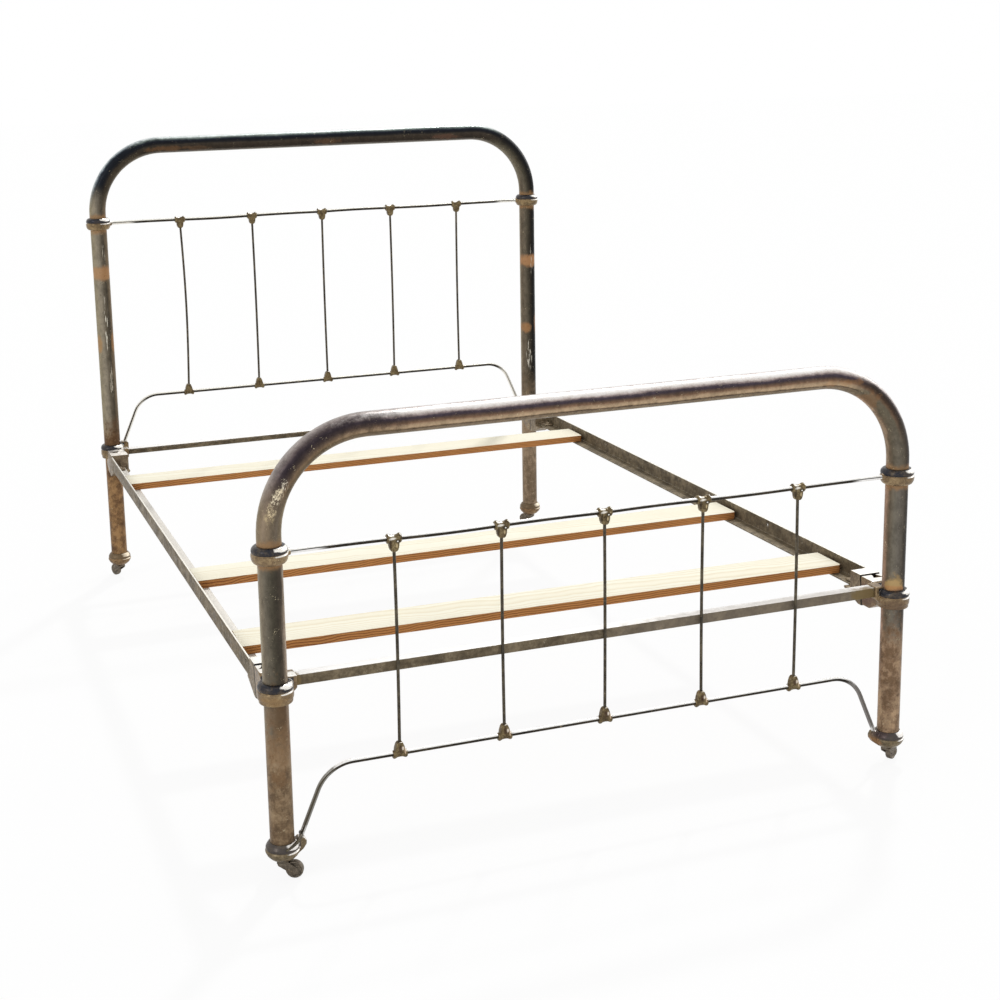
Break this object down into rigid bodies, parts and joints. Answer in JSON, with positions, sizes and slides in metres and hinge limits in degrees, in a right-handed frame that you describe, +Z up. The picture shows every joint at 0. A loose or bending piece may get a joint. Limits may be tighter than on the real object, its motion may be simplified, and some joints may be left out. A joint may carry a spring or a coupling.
{
  "type": "wrought iron bed",
  "caption": "Iron bed frame: bent tube head and foot bows with rod spindles, hooked angle iron side rails, loose wooden slats and swivel casters.",
  "frame": {"origin": "On the floor, under the middle of the bed.", "axes": "+X to the right seen from the foot, +Y from the foot end to the head end, +Z up."},
  "size_m": [1.4434, 2.0805, 1.3353],
  "materials": {
    "bow_tube": "aged dark lacquer on steel tube, half gloss, rust spots and chips",
    "filler_rod": "aged dark lacquer on iron rod, half gloss, brown rust",
    "knuckle": "glossy olive brown lacquer on castings",
    "casting": "dark blue-black lacquer worn to bronze brown",
    "hook_casting": "dull grey-brown iron",
    "angle_iron": "dull grey-brown rolled iron, fine rust speckle",
    "pine_slat": "bare sawn softwood, pale top, orange-brown edges",
    "caster_iron": "worn brown iron",
    "caster_wheel": "dark worn wheel with a paler rim"
  },
  "bodies": {
    "bed_frame": {"foot_arch_tube": "bow_tube", "foot_collar_left": "casting", "foot_collar_right": "casting", "foot_top_rod": "filler_rod", "foot_bottom_rod": "filler_rod", "foot_cross_rail": "angle_iron", "foot_knuckle_1": "knuckle", "foot_spindle_1": "filler_rod", "foot_knuckle_2": "knuckle", "foot_spindle_2": "filler_rod", "foot_knuckle_3": "knuckle", "foot_spindle_3": "filler_rod", "foot_knuckle_4": "knuckle", "foot_spindle_4": "filler_rod", "foot_knuckle_5": "knuckle", "foot_spindle_5": "filler_rod", "head_arch_tube": "bow_tube", "head_collar_left": "casting", "head_collar_right": "casting", "head_top_rod": "filler_rod", "head_bottom_rod": "filler_rod", "head_cross_rail": "angle_iron", "head_knuckle_1": "knuckle", "head_spindle_1": "filler_rod", "head_knuckle_2": "knuckle", "head_spindle_2": "filler_rod", "head_knuckle_3": "knuckle", "head_spindle_3": "filler_rod", "head_knuckle_4": "knuckle", "head_spindle_4": "filler_rod", "head_knuckle_5": "knuckle", "head_spindle_5": "filler_rod", "corner_casting_foot_left": "casting", "rail_hook_foot_left": "hook_casting", "post_foot_foot_left": "casting", "corner_casting_foot_right": "casting", "rail_hook_foot_right": "hook_casting", "post_foot_foot_right": "casting", "corner_casting_head_left": "casting", "rail_hook_head_left": "hook_casting", "post_foot_head_left": "casting", "corner_casting_head_right": "casting", "rail_hook_head_right": "hook_casting", "post_foot_head_right": "casting", "side_rail_left": "angle_iron", "side_rail_right": "angle_iron"},
    "swivel_foot_left": {"caster_fork_foot_left": "caster_iron"},
    "wheel_foot_left": {"caster_wheel_foot_left": "caster_wheel"},
    "swivel_foot_right": {"caster_fork_foot_right": "caster_iron"},
    "wheel_foot_right": {"caster_wheel_foot_right": "caster_wheel"},
    "swivel_head_left": {"caster_fork_head_left": "caster_iron"},
    "wheel_head_left": {"caster_wheel_head_left": "caster_wheel"},
    "swivel_head_right": {"caster_fork_head_right": "caster_iron"},
    "wheel_head_right": {"caster_wheel_head_right": "caster_wheel"},
    "loose_slat_1": {"slat_1": "pine_slat"},
    "loose_slat_2": {"slat_2": "pine_slat"},
    "loose_slat_3": {"slat_3": "pine_slat"}
  },
  "joints": [
    {"name": "caster_swivel_foot_left", "type": "hinge", "parent": "bed_frame", "child": "swivel_foot_left", "pos_m": [-0.686, -1.004, 0.06], "axis": [0, 0, 1], "continuous": true},
    {"name": "caster_roll_foot_left", "type": "hinge", "parent": "swivel_foot_left", "child": "wheel_foot_left", "pos_m": [-0.6659, -1.01295, 0.0175], "axis": [0.4067, 0.9135, 0], "continuous": true},
    {"name": "caster_swivel_foot_right", "type": "hinge", "parent": "bed_frame", "child": "swivel_foot_right", "pos_m": [0.686, -1.004, 0.06], "axis": [0, 0, 1], "continuous": true},
    {"name": "caster_roll_foot_right", "type": "hinge", "parent": "swivel_foot_right", "child": "wheel_foot_right", "pos_m": [0.70466, -0.99234, 0.0175], "axis": [-0.5299, 0.848, 0], "continuous": true},
    {"name": "caster_swivel_head_left", "type": "hinge", "parent": "bed_frame", "child": "swivel_head_left", "pos_m": [-0.686, 1.004, 0.06], "axis": [0, 0, 1], "continuous": true},
    {"name": "caster_roll_head_left", "type": "hinge", "parent": "swivel_head_left", "child": "wheel_head_left", "pos_m": [-0.69633, 1.02343, 0.0175], "axis": [-0.8829, -0.4695, 0], "continuous": true},
    {"name": "caster_swivel_head_right", "type": "hinge", "parent": "bed_frame", "child": "swivel_head_right", "pos_m": [0.686, 1.004, 0.06], "axis": [0, 0, 1], "continuous": true},
    {"name": "caster_roll_head_right", "type": "hinge", "parent": "swivel_head_right", "child": "wheel_head_right", "pos_m": [0.67434, 1.02266, 0.0175], "axis": [-0.848, -0.5299, 0], "continuous": true},
    {"name": "slat_lift_1", "type": "slide", "parent": "bed_frame", "child": "loose_slat_1", "axis": [0, 0, 1], "range_m": [0, 0.15]},
    {"name": "slat_lift_2", "type": "slide", "parent": "bed_frame", "child": "loose_slat_2", "axis": [0, 0, 1], "range_m": [0, 0.15]},
    {"name": "slat_lift_3", "type": "slide", "parent": "bed_frame", "child": "loose_slat_3", "axis": [0, 0, 1], "range_m": [0, 0.15]}
  ]
}
